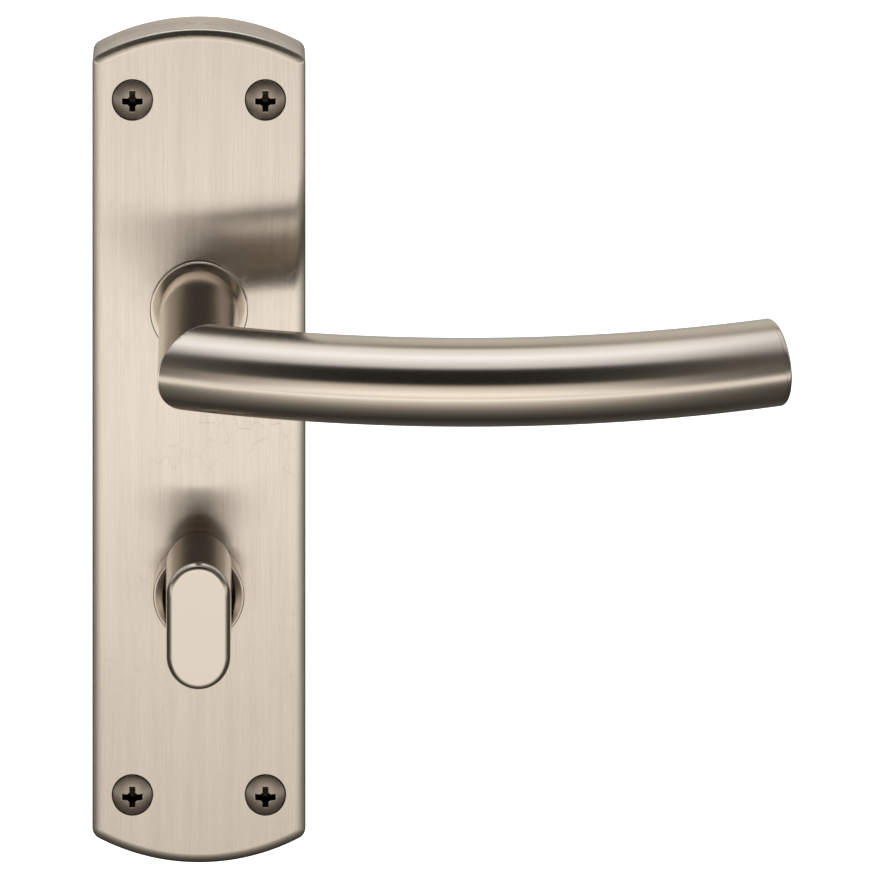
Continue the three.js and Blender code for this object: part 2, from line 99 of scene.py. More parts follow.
def select_where(
    piece: bpy.types.Object, kind: str, wanted: Callable[[object, bpy.types.Mesh], bool]
) -> None:
    """Select the vertices, edges or faces that a test accepts.

    Args:
        piece: the piece that is open in edit mode.
        kind: "vertices", "edges" or "polygons".
        wanted: a function of one element and the mesh, true for those to select.
    """
    bpy.ops.mesh.select_all(action="DESELECT")
    bpy.ops.object.mode_set(mode="OBJECT")
    mesh = piece.data
    for element in getattr(mesh, kind):
        element.select = wanted(element, mesh)
    bpy.ops.object.mode_set(mode="EDIT")


def edge_lies(
    edge: bpy.types.MeshEdge, mesh: bpy.types.Mesh, test: Callable[[Vector], bool]
) -> bool:
    """Whether both ends of an edge pass a test of their place.

    Args:
        edge: the edge.
        mesh: the mesh it belongs to.
        test: a function of a Vector.

    Returns:
        True when both ends pass.
    """
    return all(test(mesh.vertices[i].co) for i in edge.vertices)


def draw_chain(name: str, points: list[Vector]) -> bpy.types.Object:
    """Draw a chain of edges, one extruded vertex at a time.

    Args:
        name: the new piece's name.
        points: where the chain goes.

    Returns:
        The piece, left open in edit mode with its whole chain selected.
    """
    clear_bench()
    bpy.ops.mesh.primitive_plane_add(size=MM, location=points[0])
    piece = bpy.context.object
    piece.name = name
    bpy.ops.object.transform_apply(location=True, rotation=True, scale=True)
    bpy.ops.object.mode_set(mode="EDIT")
    bpy.ops.mesh.select_mode(type="VERT")
    bpy.ops.mesh.select_all(action="SELECT")
    bpy.ops.mesh.merge(type="CENTER")
    for here, there in zip(points, points[1:]):
        step = there - here
        bpy.ops.mesh.extrude_vertices_move(TRANSFORM_OT_translate={"value": step})
    bpy.ops.mesh.select_all(action="SELECT")
    return piece


def close_mesh(piece: bpy.types.Object) -> bpy.types.Object:
    """Merge doubles, point the faces outwards and leave edit mode.

    Args:
        piece: the piece that is open.

    Returns:
        The piece.
    """
    bpy.ops.mesh.select_all(action="SELECT")
    bpy.ops.mesh.remove_doubles(threshold=MERGE_DISTANCE)
    bpy.ops.mesh.normals_make_consistent(inside=False)
    bpy.ops.object.mode_set(mode="OBJECT")
    return piece


def turn_on_lathe(
    name: str, profile: list[tuple[float, float]], height: float, steps: int = 96
) -> bpy.types.Object:
    """Turn a profile about a line along Y.

    Args:
        name: the new piece's name.
        profile: pairs of radius and y, from axis to axis or closing on itself.
        height: the line's height.
        steps: segments round the turn.

    Returns:
        The turned piece.
    """
    points = [Vector((radius, y, height)) for radius, y in profile]
    piece = draw_chain(name, points)
    bpy.ops.mesh.spin(
        steps=steps, angle=2 * math.pi, center=(0, 0, height), axis=(0, 1, 0)
    )
    return close_mesh(piece)


def press_outline(
    name: str, outline: list[tuple[float, float]], front: float, back: float
) -> bpy.types.Object:
    """Fill a flat outline and draw it out into a solid along Y.

    Args:
        name: the new piece's name.
        outline: pairs of x and z going once round.
        front: the solid's front, at the lower y.
        back: its back.

    Returns:
        The solid.
    """
    loop = [Vector((x, back, z)) for x, z in [*outline, outline[0]]]
    piece = draw_chain(name, loop)
    bpy.ops.mesh.remove_doubles(threshold=1e-6)
    bpy.ops.mesh.select_all(action="SELECT")
    bpy.ops.mesh.edge_face_add()
    bpy.ops.mesh.extrude_region_move(
        TRANSFORM_OT_translate={"value": (0, front - back, 0)}
    )
    return close_mesh(piece)


def bend_arc(
    centre: tuple[float, float], radius: float, start: float, stop: float, steps: int
) -> list[tuple[float, float]]:
    """Points along an arc.

    Args:
        centre: the arc's centre.
        radius: its radius.
        start: its first angle, in degrees.
        stop: its last angle, in degrees.
        steps: how many stretches it has.

    Returns:
        The points, both ends included.
    """
    angles = [math.radians(start + (stop - start) * i / steps) for i in range(steps + 1)]
    return [
        (centre[0] + radius * math.cos(a), centre[1] + radius * math.sin(a))
        for a in angles
    ]


def fit_modifier(piece: bpy.types.Object, kind: str, **settings) -> None:
    """Add a modifier, set it and apply it.

    Args:
        piece: the piece it works on.
        kind: the modifier's type.
        settings: its properties.
    """
    pick_up(piece)
    modifier = piece.modifiers.new(kind.lower(), kind)
    for key, value in settings.items():
        setattr(modifier, key, value)
    bpy.ops.object.modifier_apply(modifier=modifier.name)


def round_edges(piece: bpy.types.Object, width: float, segments: int = 3) -> None:
    """Round the sharp edges of a piece.

    Args:
        piece: the piece.
        width: the rounding's width.
        segments: how finely it turns.
    """
    fit_modifier(
        piece,
        "BEVEL",
        width=width,
        segments=segments,
        limit_method="ANGLE",
        angle_limit=math.radians(35),
    )


def carve(piece: bpy.types.Object, cutter: bpy.types.Object) -> None:
    """Cut one piece out of another and throw the cutter away.

    Args:
        piece: what is cut.
        cutter: what cuts it.
    """
    fit_modifier(piece, "BOOLEAN", operation="DIFFERENCE", solver="EXACT", object=cutter)
    bpy.data.objects.remove(cutter)


def smooth_over(piece: bpy.types.Object, angle: float = 32) -> None:
    """Shade a piece smooth, with its flats kept flat.

    Args:
        piece: the piece.
        angle: edges sharper than this stay sharp, in degrees.
    """
    pick_up(piece)
    bpy.ops.object.shade_smooth_by_angle(angle=math.radians(angle))
    fit_modifier(piece, "WEIGHTED_NORMAL", keep_sharp=True, weight=90)


def copy_to(piece: bpy.types.Object, name: str, step: Vector) -> bpy.types.Object:
    """Copy a finished piece with its own mesh, and move the copy.

    Args:
        piece: the piece to copy.
        name: the copy's name.
        step: how far it moves.

    Returns:
        The copy, sitting at the origin with its place in its mesh.
    """
    pick_up(piece)
    bpy.ops.object.duplicate(linked=False)
    twin = bpy.context.object
    twin.name = name
    bpy.ops.transform.translate(value=step)
    bpy.ops.object.transform_apply(location=True, rotation=False, scale=False)
    return twin


# ------------------------------------------------------------------ finishes


def socket_group(name: str, inputs: dict, outputs: list[str]) -> bpy.types.NodeTree:
    """Start a shader node group with float and vector inputs.

    Args:
        name: the group's name.
        inputs: input name to its default, a number or three numbers.
        outputs: names of the value outputs.

    Returns:
        The group, with its input and output nodes placed.
    """
    tree = bpy.data.node_groups.new(name, "ShaderNodeTree")
    for label, default in inputs.items():
        kind = "NodeSocketFloat" if isinstance(default, float) else "NodeSocketVector"
        made = tree.interface.new_socket(label, in_out="INPUT", socket_type=kind)
        made.default_value = default
    for label in outputs:
        tree.interface.new_socket(label, in_out="OUTPUT", socket_type="NodeSocketFloat")
    tree.nodes.new("NodeGroupInput").name = "in"
    tree.nodes.new("NodeGroupOutput").name = "out"
    return tree


def add_math(
    tree: bpy.types.NodeTree, operation: str, first: Signal, second: Signal
) -> bpy.types.NodeSocket:
    """A Math node on two sockets or numbers.

    Args:
        tree: the node tree.
        operation: the Math node's operation.
        first: a socket or a number.
        second: a socket or a number.

    Returns:
        Its output socket.
    """
    node = tree.nodes.new("ShaderNodeMath")
    node.operation = operation
    for socket, value in zip(node.inputs, (first, second)):
        if isinstance(value, (int, float)):
            socket.default_value = value
        else:
            tree.links.new(value, socket)
    return node.outputs[0]


def add_noise(
    tree: bpy.types.NodeTree, place: bpy.types.NodeSocket, scale: float, detail: float, rough: float
) -> bpy.types.NodeSocket:
    """A noise texture on a place socket.

    Args:
        tree: the node tree.
        place: the vector socket it reads.
        scale: its scale.
        detail: its octaves.
        rough: how strong the finer octaves are.

    Returns:
        Its value socket.
    """
    node = tree.nodes.new("ShaderNodeTexNoise")
    node.inputs["Scale"].default_value = scale
    node.inputs["Detail"].default_value = detail
    node.inputs["Roughness"].default_value = rough
    tree.links.new(place, node.inputs["Vector"])
    return node.outputs["Fac"]


def stretch(
    tree: bpy.types.NodeTree, place: bpy.types.NodeSocket, scale: tuple | bpy.types.NodeSocket
) -> bpy.types.NodeSocket:
    """A Mapping node that scales a place socket.

    Args:
        tree: the node tree.
        place: the vector socket.
        scale: a vector socket or three numbers.

    Returns:
        The scaled vector socket.
    """
    node = tree.nodes.new("ShaderNodeMapping")
    tree.links.new(place, node.inputs["Vector"])
    if isinstance(scale, tuple):
        node.inputs["Scale"].default_value = scale
    else:
        tree.links.new(scale, node.inputs["Scale"])
    return node.outputs["Vector"]


def make_brushing() -> bpy.types.NodeTree:
    """The group that draws brushed grain: long fine scratches along one way.

    Returns:
        A group with Height, Streak and Cloud outputs.
    """
    tree = socket_group(
        "brushing",
        {"Place": (0.0, 0.0, 0.0), "Grain": (2600.0, 2600.0, 60.0), "Depth": 1.0},
        ["Height", "Streak", "Cloud"],
    )
    source = tree.nodes["in"].outputs
    along = stretch(tree, source["Place"], source["Grain"])
    fine = add_noise(tree, along, 1.0, 4.0, 0.65)
    broad = add_noise(tree, stretch(tree, along, (0.13, 0.13, 0.25)), 1.0, 2.0, 0.5)
    cloud = add_noise(tree, stretch(tree, source["Place"], (45.0, 45.0, 22.0)), 1.0, 3.0, 0.5)
    fine_share = add_math(tree, "MULTIPLY", fine, 0.62)
    broad_share = add_math(tree, "MULTIPLY", broad, 0.38)
    mixed = add_math(tree, "ADD", fine_share, broad_share)
    out = tree.nodes["out"].inputs
    tree.links.new(add_math(tree, "MULTIPLY", mixed, source["Depth"]), out["Height"])
    tree.links.new(mixed, out["Streak"])
    tree.links.new(cloud, out["Cloud"])
    return tree


def make_handling() -> bpy.types.NodeTree:
    """The group that draws touch marks: soft smudges and a few hairline scratches.

    Returns:
        A group with Smudge and Scratch outputs.
    """
    tree = socket_group(
        "handling",
        {"Place": (0.0, 0.0, 0.0), "Spread": (60.0, 60.0, 60.0)},
        ["Smudge", "Scratch"],
    )
    source = tree.nodes["in"].outputs
    spread = stretch(tree, source["Place"], source["Spread"])
    smudge = add_noise(tree, spread, 1.0, 3.0, 0.55)
    voronoi = tree.nodes.new("ShaderNodeTexVoronoi")
    voronoi.feature = "DISTANCE_TO_EDGE"
    voronoi.inputs["Scale"].default_value = 3.0
    tree.links.new(stretch(tree, spread, (2.4, 0.6, 1.1)), voronoi.inputs["Vector"])
    hair = tree.nodes.new("ShaderNodeMapRange")
    hair.inputs["From Max"].default_value = 0.012
    hair.inputs["To Min"].default_value = 1.0
    hair.inputs["To Max"].default_value = 0.0
    tree.links.new(voronoi.outputs["Distance"], hair.inputs["Value"])
    patches = add_math(tree, "GREATER_THAN", smudge, 0.56)
    broken = add_math(tree, "MULTIPLY", hair.outputs["Result"], patches)
    out = tree.nodes["out"].inputs
    tree.links.new(smudge, out["Smudge"])
    tree.links.new(broken, out["Scratch"])
    return tree


class Grain(Enum):
    """Which way a finish's grain runs, as the scale of its noise along X, Y and Z."""

    UPRIGHT = (3000.0, 3000.0, 60.0)
    ROUND_THE_GRIP = (2600.0, 150.0, 150.0)
    ROUND_THE_NECK = (150.0, 2600.0, 150.0)
    EVEN = (1500.0, 1500.0, 1500.0)
    INTO_DOOR = (2200.0, 50.0, 2200.0)


@dataclass(frozen=True)
class MetalFinish:
    """A metal with grain, touch marks and small colour changes.

    Fields: its name and record slot, light and deep tints, base roughness and how much it varies,
    the grain's way and depth, and how far the light is drawn out across the grain.
    """

    name: str
    slot: str
    light: tuple[float, float, float]
    deep: tuple[float, float, float]
    roughness: float
    variation: float
    grain: Grain
    depth: float
    drawn_out: float = 0.0
    metallic: float = 1.0

    def make(
        self, brushing: bpy.types.NodeTree, handling: bpy.types.NodeTree
    ) -> bpy.types.Material:
        """Build the material.

        Args:
            brushing: the brushed grain group.
            handling: the touch marks group.

        Returns:
            The material.
        """
        material = bpy.data.materials.new(self.name)
        material.use_nodes = True
        tree = material.node_tree
        shader = tree.nodes["Principled BSDF"]
        shader.inputs["Metallic"].default_value = self.metallic
        shader.inputs["Anisotropic"].default_value = self.drawn_out
        place = tree.nodes.new("ShaderNodeTexCoord").outputs["Object"]
        grain = tree.nodes.new("ShaderNodeGroup")
        grain.node_tree = brushing
        grain.inputs["Grain"].default_value = self.grain.value
        tree.links.new(place, grain.inputs["Place"])
        touch = tree.nodes.new("ShaderNodeGroup")
        touch.node_tree = handling
        tree.links.new(place, touch.inputs["Place"])
        tint = tree.nodes.new("ShaderNodeMix")
        tint.data_type = "RGBA"
        tint.inputs["A"].default_value = (*self.deep, 1)
        tint.inputs["B"].default_value = (*self.light, 1)
        tree.links.new(grain.outputs["Streak"], tint.inputs["Factor"])
        tree.links.new(tint.outputs["Result"], shader.inputs["Base Color"])
        blur = add_math(tree, "MULTIPLY", grain.outputs["Streak"], self.variation)
        blur = add_math(tree, "ADD", blur, self.roughness - self.variation / 2)
        smudged = add_math(tree, "MULTIPLY", touch.outputs["Smudge"], self.variation * 0.5)
        blur = add_math(tree, "ADD", blur, smudged)
        tree.links.new(blur, shader.inputs["Roughness"])
        marks = add_math(tree, "MULTIPLY", touch.outputs["Scratch"], -0.15)
        height = add_math(tree, "ADD", grain.outputs["Height"], marks)
        bump = tree.nodes.new("ShaderNodeBump")
        bump.inputs["Distance"].default_value = self.depth
        bump.inputs["Strength"].default_value = 1.0
        tree.links.new(height, bump.inputs["Height"])
        tree.links.new(bump.outputs["Normal"], shader.inputs["Normal"])
        return material


@dataclass
class FinishShelf:
    """Every finish of the handle, made once."""

    made: dict = field(default_factory=dict)

    def stock(self) -> None:
        """Make the shared groups and every finish."""
        brushing = make_brushing()
        handling = make_handling()
        pale = (0.70, 0.64, 0.57)
        deep = (0.645, 0.585, 0.515)
        finishes = [
            MetalFinish(
                "satin_plate", "satin_nickel", (0.86, 0.79, 0.71), (0.51, 0.46, 0.40), 0.24, 0.05,
                Grain.UPRIGHT, 3e-5, 1.0,
            ),
            MetalFinish(
                "satin_knob", "satin_nickel", pale, deep, 0.21, 0.05, Grain.UPRIGHT, 3e-6
            ),
            MetalFinish(
                "satin_grip", "polished_nickel", pale, deep, 0.18, 0.05,
                Grain.ROUND_THE_GRIP, 4e-6, 0.8,
            ),
            MetalFinish(
                "satin_neck", "polished_nickel", pale, deep, 0.18, 0.05,
                Grain.ROUND_THE_NECK, 3e-6,
            ),
            MetalFinish(
                "turned_nickel", "polished_nickel", pale, deep, 0.17, 0.05, Grain.EVEN, 3e-7
            ),
            MetalFinish(
                "screw_nickel", "screw_nickel", (0.46, 0.40, 0.34), (0.32, 0.27, 0.23), 0.33, 0.12,
                Grain.EVEN, 1e-6,
            ),
            # Painted shade: a near-black copy of the screw metal for the walls of the cross recess,
            # standing in for the shadow in the hollow.
            MetalFinish(
                "painted_recess_shade", "screw_nickel", (0.07, 0.06, 0.05), (0.03, 0.026, 0.022), 0.5, 0.1,
                Grain.EVEN, 1e-6,
            ),
            MetalFinish(
                "zinc_plate", "zinc", (0.62, 0.62, 0.60), (0.42, 0.42, 0.42), 0.42, 0.16,
                Grain.INTO_DOOR, 4e-6,
            ),
            MetalFinish(
                "die_cast", "die_cast", (0.44, 0.44, 0.45), (0.30, 0.30, 0.31), 0.58, 0.16,
                Grain.EVEN, 1.2e-5,
            ),
            MetalFinish(
                "spring_steel", "spring_steel", (0.28, 0.27, 0.26), (0.14, 0.14, 0.14), 0.38, 0.12,
                Grain.EVEN, 3e-6,
            ),
            MetalFinish(
                "black_steel", "black_steel", (0.07, 0.07, 0.07), (0.03, 0.03, 0.03), 0.42, 0.12,
                Grain.EVEN, 3e-6,
            ),
            MetalFinish(
                "nylon", "nylon", (0.80, 0.78, 0.72), (0.72, 0.70, 0.64), 0.52, 0.10,
                Grain.EVEN, 5e-6, metallic=0.0,
            ),
        ]
        for finish in finishes:
            self.made[finish.name] = (finish.make(brushing, handling), finish.slot)

    def dress(self, piece: bpy.types.Object, name: str, body: str, *nodes: str) -> bpy.types.Object:
        """Give a piece its finish, its body and the nodes it stands for.

        Args:
            piece: the finished piece.
            name: the finish's name.
            body: the body it rides on.
            nodes: the CAD nodes it replaces.

        Returns:
            The piece.
        """
        material, slot = self.made[name]
        if piece.data.materials:
            piece.data.materials[0] = material
        else:
            piece.data.materials.append(material)
        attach(piece, body)
        if nodes:
            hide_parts(*nodes)
        LOG.info("%s: %d faces, %s, on %s", piece.name, len(piece.data.polygons), name, body)
        return piece

    def dress_node(self, node: str, name: str) -> None:
        """Give a CAD node that stays its finish.

        Args:
            node: the node's name.
            name: the finish's name.
        """
        kept = frame["nodes"][node]
        kept.data.materials.clear()
        kept.data.materials.append(self.made[name][0])
        LOG.info("%s: kept from the frame, %s", node, name)


# ------------------------------------------------------------------ plate


@dataclass
class CoverPlate:
    """The pressed plate with arched ends, its screw sinks and the holes for both spindles."""

    end_radius: float = 45 * MM
    corner_radius: float = 2.4 * MM
    edge_radius: float = 3.5 * MM
    edge_turn: float = 40
    edge_steps: int = 8
    shoulder_rounding: float = 0.3 * MM
    drill_run: float = 2 * MM
    wall: float = 1.5 * MM
    lever_hole: float = 9.8 * MM
    turn_hole: float = 6.2 * MM
    sink_radius: float = 4.2 * MM
    screw_x: float = 13.7 * MM
    screw_z: float = 71.6 * MM

    def outline(self) -> list[tuple[float, float]]:
        """The plate's outline, once round.

        Returns:
            Pairs of x and z.
        """
        low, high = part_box("cover_plate")
        half = high.x
        centre = high.z - self.end_radius
        across = half - self.corner_radius
        up = math.sqrt((self.end_radius - self.corner_radius) ** 2 - across**2)
        turn = math.degrees(math.atan2(up, across))
        top = (
            bend_arc((across, centre + up), self.corner_radius, 0, turn, 8)
            + bend_arc((0, centre), self.end_radius, turn, 180 - turn, 56)[1:-1]
            + bend_arc((-across, centre + up), self.corner_radius, 180 - turn, 180, 8)
        )
        return top + [(-x, -z) for x, z in top]

    def build(self) -> bpy.types.Object:
        """Press, round, hollow and pierce the plate.

        Returns:
            The plate.
        """
        low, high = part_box("cover_plate")
        parts = [1 - step / self.edge_steps for step in range(self.edge_steps + 1)]
        turns = [math.radians(self.edge_turn * part) for part in parts]
        shoulder = low.y + self.edge_radius * (1 - math.cos(turns[0]))
        plate = press_outline("plate_shell", self.outline(), shoulder, high.y)
        open_mesh(plate, "FACE")
        select_where(plate, "polygons", lambda f, m: f.normal.y < -FLAT)
        for steep, flat in zip(turns, turns[1:]):
            inwards = self.edge_radius * (math.sin(steep) - math.sin(flat))
            forwards = self.edge_radius * (math.cos(flat) - math.cos(steep))
            bpy.ops.mesh.inset(thickness=inwards, depth=forwards, use_even_offset=True)
        bpy.ops.mesh.select_mode(type="EDGE")
        select_where(
            plate,
            "edges",
            lambda e, m: edge_lies(e, m, lambda p: abs(p.y - shoulder) < MERGE_DISTANCE),
        )
        bpy.ops.mesh.bevel(offset=self.shoulder_rounding, segments=4, affect="EDGES")
        bpy.ops.mesh.select_mode(type="FACE")
        select_where(plate, "polygons", lambda f, m: f.normal.y > FLAT)
        bpy.ops.mesh.delete(type="FACE")
        close_mesh(plate)
        fit_modifier(plate, "SOLIDIFY", thickness=self.wall, offset=-1, use_even_offset=True)
        lever_z = frame["joints"][0]["pos_m"][2]
        turn_z = frame["joints"][1]["pos_m"][2]
        start, stop = low.y - self.drill_run, high.y + self.drill_run
        for radius, height in ((self.lever_hole, lever_z), (self.turn_hole, turn_z)):
            profile = [(0, start), (radius, start), (radius, stop), (0, stop)]
            carve(plate, turn_on_lathe("drill", profile, height, 72))
        for x in (-self.screw_x, self.screw_x):
            for z in (-self.screw_z, self.screw_z):
                self.sink(plate, low.y, x, z)
        smooth_over(plate, 28)
        return plate

    def sink(self, plate: bpy.types.Object, front: float, x: float, z: float) -> None:
        """Countersink one screw hole.

        Args:
            plate: the plate.
            front: the y of its face.
            x: the hole's x.
            z: the hole's height.
        """
        lip = self.sink_radius
        profile = [
            (0, front - 1 * MM),
            (lip + 0.3 * MM, front - 1 * MM),
            (lip + 0.22 * MM, front - 0.02 * MM),
            (lip + 0.06 * MM, front + 0.05 * MM),
            (lip, front + 0.2 * MM),
            (lip - 1.3 * MM, front + 1.42 * MM),
            (lip - 1.3 * MM, front + 4 * MM),
            (0, front + 4 * MM),
        ]
        bit = turn_on_lathe("countersink", profile, z, 48)
        bit.location.x = x
        carve(plate, bit)


# ------------------------------------------------------------------ screws


@dataclass
class FixingScrews:
    """Four raised countersunk wood screws with a cross recess."""

    head_radius: float = 4.05 * MM
    crown: float = 0.95 * MM
    shank_radius: float = 2.1 * MM
    core_radius: float = 1.45 * MM
    pitch: float = 1.8 * MM
    recess_span: float = 5.3 * MM
    recess_width: float = 1.3 * MM
    recess_depth: float = 2.7 * MM
    recess_heart_radius: float = 1.3 * MM
    recess_taper: tuple[float, float] = (0.42, 0.8)
    recess_rounding: float = 0.09 * MM
    seat: float = 0.05 * MM
    thread_start: float = 8.2 * MM
    thread_run_out: float = 5.2 * MM
    thread_half_root: float = 0.42 * MM
    thread_half_crest: float = 0.06 * MM

    def build(self, head_metal_and_recess_shade: list) -> list[bpy.types.Object]:
        """Model one screw and copy it to the other three places.

        Args:
            head_metal_and_recess_shade: the head's metal, and a near-black material that paints shade
                onto the recess walls.

        Returns:
            The four screws.
        """
        low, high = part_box("fixing_screw_top_left")
        middle = (low + high) / 2
        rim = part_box("cover_plate")[0].y - self.seat
        screw = self.model("screw_top_left", rim, high.y, head_metal_and_recess_shade)
        pick_up(screw)
        bpy.ops.transform.translate(value=(middle.x, 0, middle.z))
        bpy.ops.object.transform_apply(location=True, rotation=False, scale=False)
        made = [screw]
        for place in ("top_right", "bottom_left", "bottom_right"):
            low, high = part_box("fixing_screw_" + place)
            step = (low + high) / 2 - middle
            made.append(copy_to(screw, "screw_" + place, Vector((step.x, 0, step.z))))
        return made

    def model(self, name: str, rim: float, tip: float, head_metal_and_recess_shade: list) -> bpy.types.Object:
        """Turn the screw, cut its recess and wind its thread, on the line x = z = 0.

        Args:
            name: the screw's name.
            rim: the y of the head's rim.
            tip: the y of the point.
            head_metal_and_recess_shade: the head's metal, and a near-black material that paints shade
                onto the recess walls.

        Returns:
            The screw.
        """
        dome_radius = (self.head_radius**2 + self.crown**2) / (2 * self.crown)
        reach = math.degrees(math.asin(self.head_radius / dome_radius))
        dome = bend_arc((0, rim - self.crown + dome_radius), dome_radius, -90, reach - 90, 12)
        body = [
            (self.head_radius, rim + 0.15 * MM),
            (self.shank_radius + 0.2 * MM, rim + 2.05 * MM),
            (self.shank_radius, rim + 2.35 * MM),
            (self.shank_radius, 7 * MM),
            (self.core_radius, 7.6 * MM),
            (self.core_radius, tip - 5 * MM),
            (0.5 * MM, tip - 0.8 * MM),
            (0, tip),
        ]
        screw = turn_on_lathe(name, dome + body, 0, 64)
        for metal in head_metal_and_recess_shade:
            screw.data.materials.append(metal)
        cutters = [self.recess_cutter(rim - self.crown, turned) for turned in (False, True)]
        cutters.append(self.recess_heart(rim - self.crown))
        for cutter in cutters:
            for metal in head_metal_and_recess_shade:
                cutter.data.materials.append(metal)
            # The cutter's faces take slot 1, the near-black painted recess shade, which the carved
            # recess walls keep.
            for face in cutter.data.polygons:
                face.material_index = 1
            carve(screw, cutter)
        round_edges(screw, self.recess_rounding, 2)
        smooth_over(screw, 30)
        thread = self.thread(tip)
        clear_bench()
        thread.select_set(True)
        screw.select_set(True)
        bpy.context.view_layer.objects.active = screw
        bpy.ops.object.join()
        return screw

    def recess_cutter(self, crown_y: float, turned: bool) -> bpy.types.Object:
        """One arm of the cross, narrowing as it goes in.

        Args:
            crown_y: the y of the head's crown.
            turned: whether the arm stands upright.

        Returns:
            The cutter.
        """
        clear_bench()
        middle = crown_y + self.recess_depth / 2 - 0.5 * MM
        bpy.ops.mesh.primitive_cube_add(size=1, location=(0, middle, 0))
        arm = bpy.context.object
        long_way, thin = self.recess_span, self.recess_width
        deep = self.recess_depth + MM
        arm.scale = (thin, deep, long_way) if turned else (long_way, deep, thin)
        bpy.ops.object.transform_apply(location=True, rotation=False, scale=True)
        open_mesh(arm, "FACE")
        select_where(arm, "polygons", lambda f, m: f.normal.y > FLAT)
        along, across = self.recess_taper
        squeeze = (across, 1, along) if turned else (along, 1, across)
        bpy.ops.transform.resize(value=squeeze, center_override=(0, middle, 0))
        return close_mesh(arm)

    def recess_heart(self, crown_y: float) -> bpy.types.Object:
        """The pointed middle of the recess, which cuts the corners between its arms.

        Args:
            crown_y: the y of the head's crown.

        Returns:
            The cutter.
        """
        profile = [
            (0, crown_y - 0.4 * MM),
            (self.recess_heart_radius, crown_y - 0.4 * MM),
            (0.45 * MM, crown_y + self.recess_depth),
            (0, crown_y + self.recess_depth + 0.3 * MM),
        ]
        return turn_on_lathe("recess_heart", profile, 0, 24)

    def thread(self, tip: float) -> bpy.types.Object:
        """Wind a closed ridge round the core.

        Args:
            tip: the y of the screw's point.

        Returns:
            The thread.
        """
        start = self.thread_start
        turns = int((tip - self.thread_run_out - start) / self.pitch)
        root = self.core_radius - 0.1 * MM
        crest = self.shank_radius - 0.05 * MM
        half_root, half_crest = self.thread_half_root, self.thread_half_crest
        ridge = [
            Vector((root, start - half_root, 0)),
            Vector((crest, start - half_crest, 0)),
            Vector((crest, start + half_crest, 0)),
            Vector((root, start + half_root, 0)),
            Vector((root, start - half_root, 0)),
        ]
        thread = draw_chain("thread", ridge)
        bpy.ops.mesh.remove_doubles(threshold=1e-7)
        bpy.ops.object.mode_set(mode="OBJECT")
        fit_modifier(
            thread, "SCREW", axis="Y", angle=2 * math.pi, screw_offset=self.pitch,
            iterations=turns, steps=28, render_steps=28, use_normal_calculate=True,
        )
        open_mesh(thread, "EDGE")
        bpy.ops.mesh.select_non_manifold(extend=False)
        bpy.ops.mesh.edge_face_add()
        close_mesh(thread)
        smooth_over(thread, 40)
        return thread


# ------------------------------------------------------------------ lever


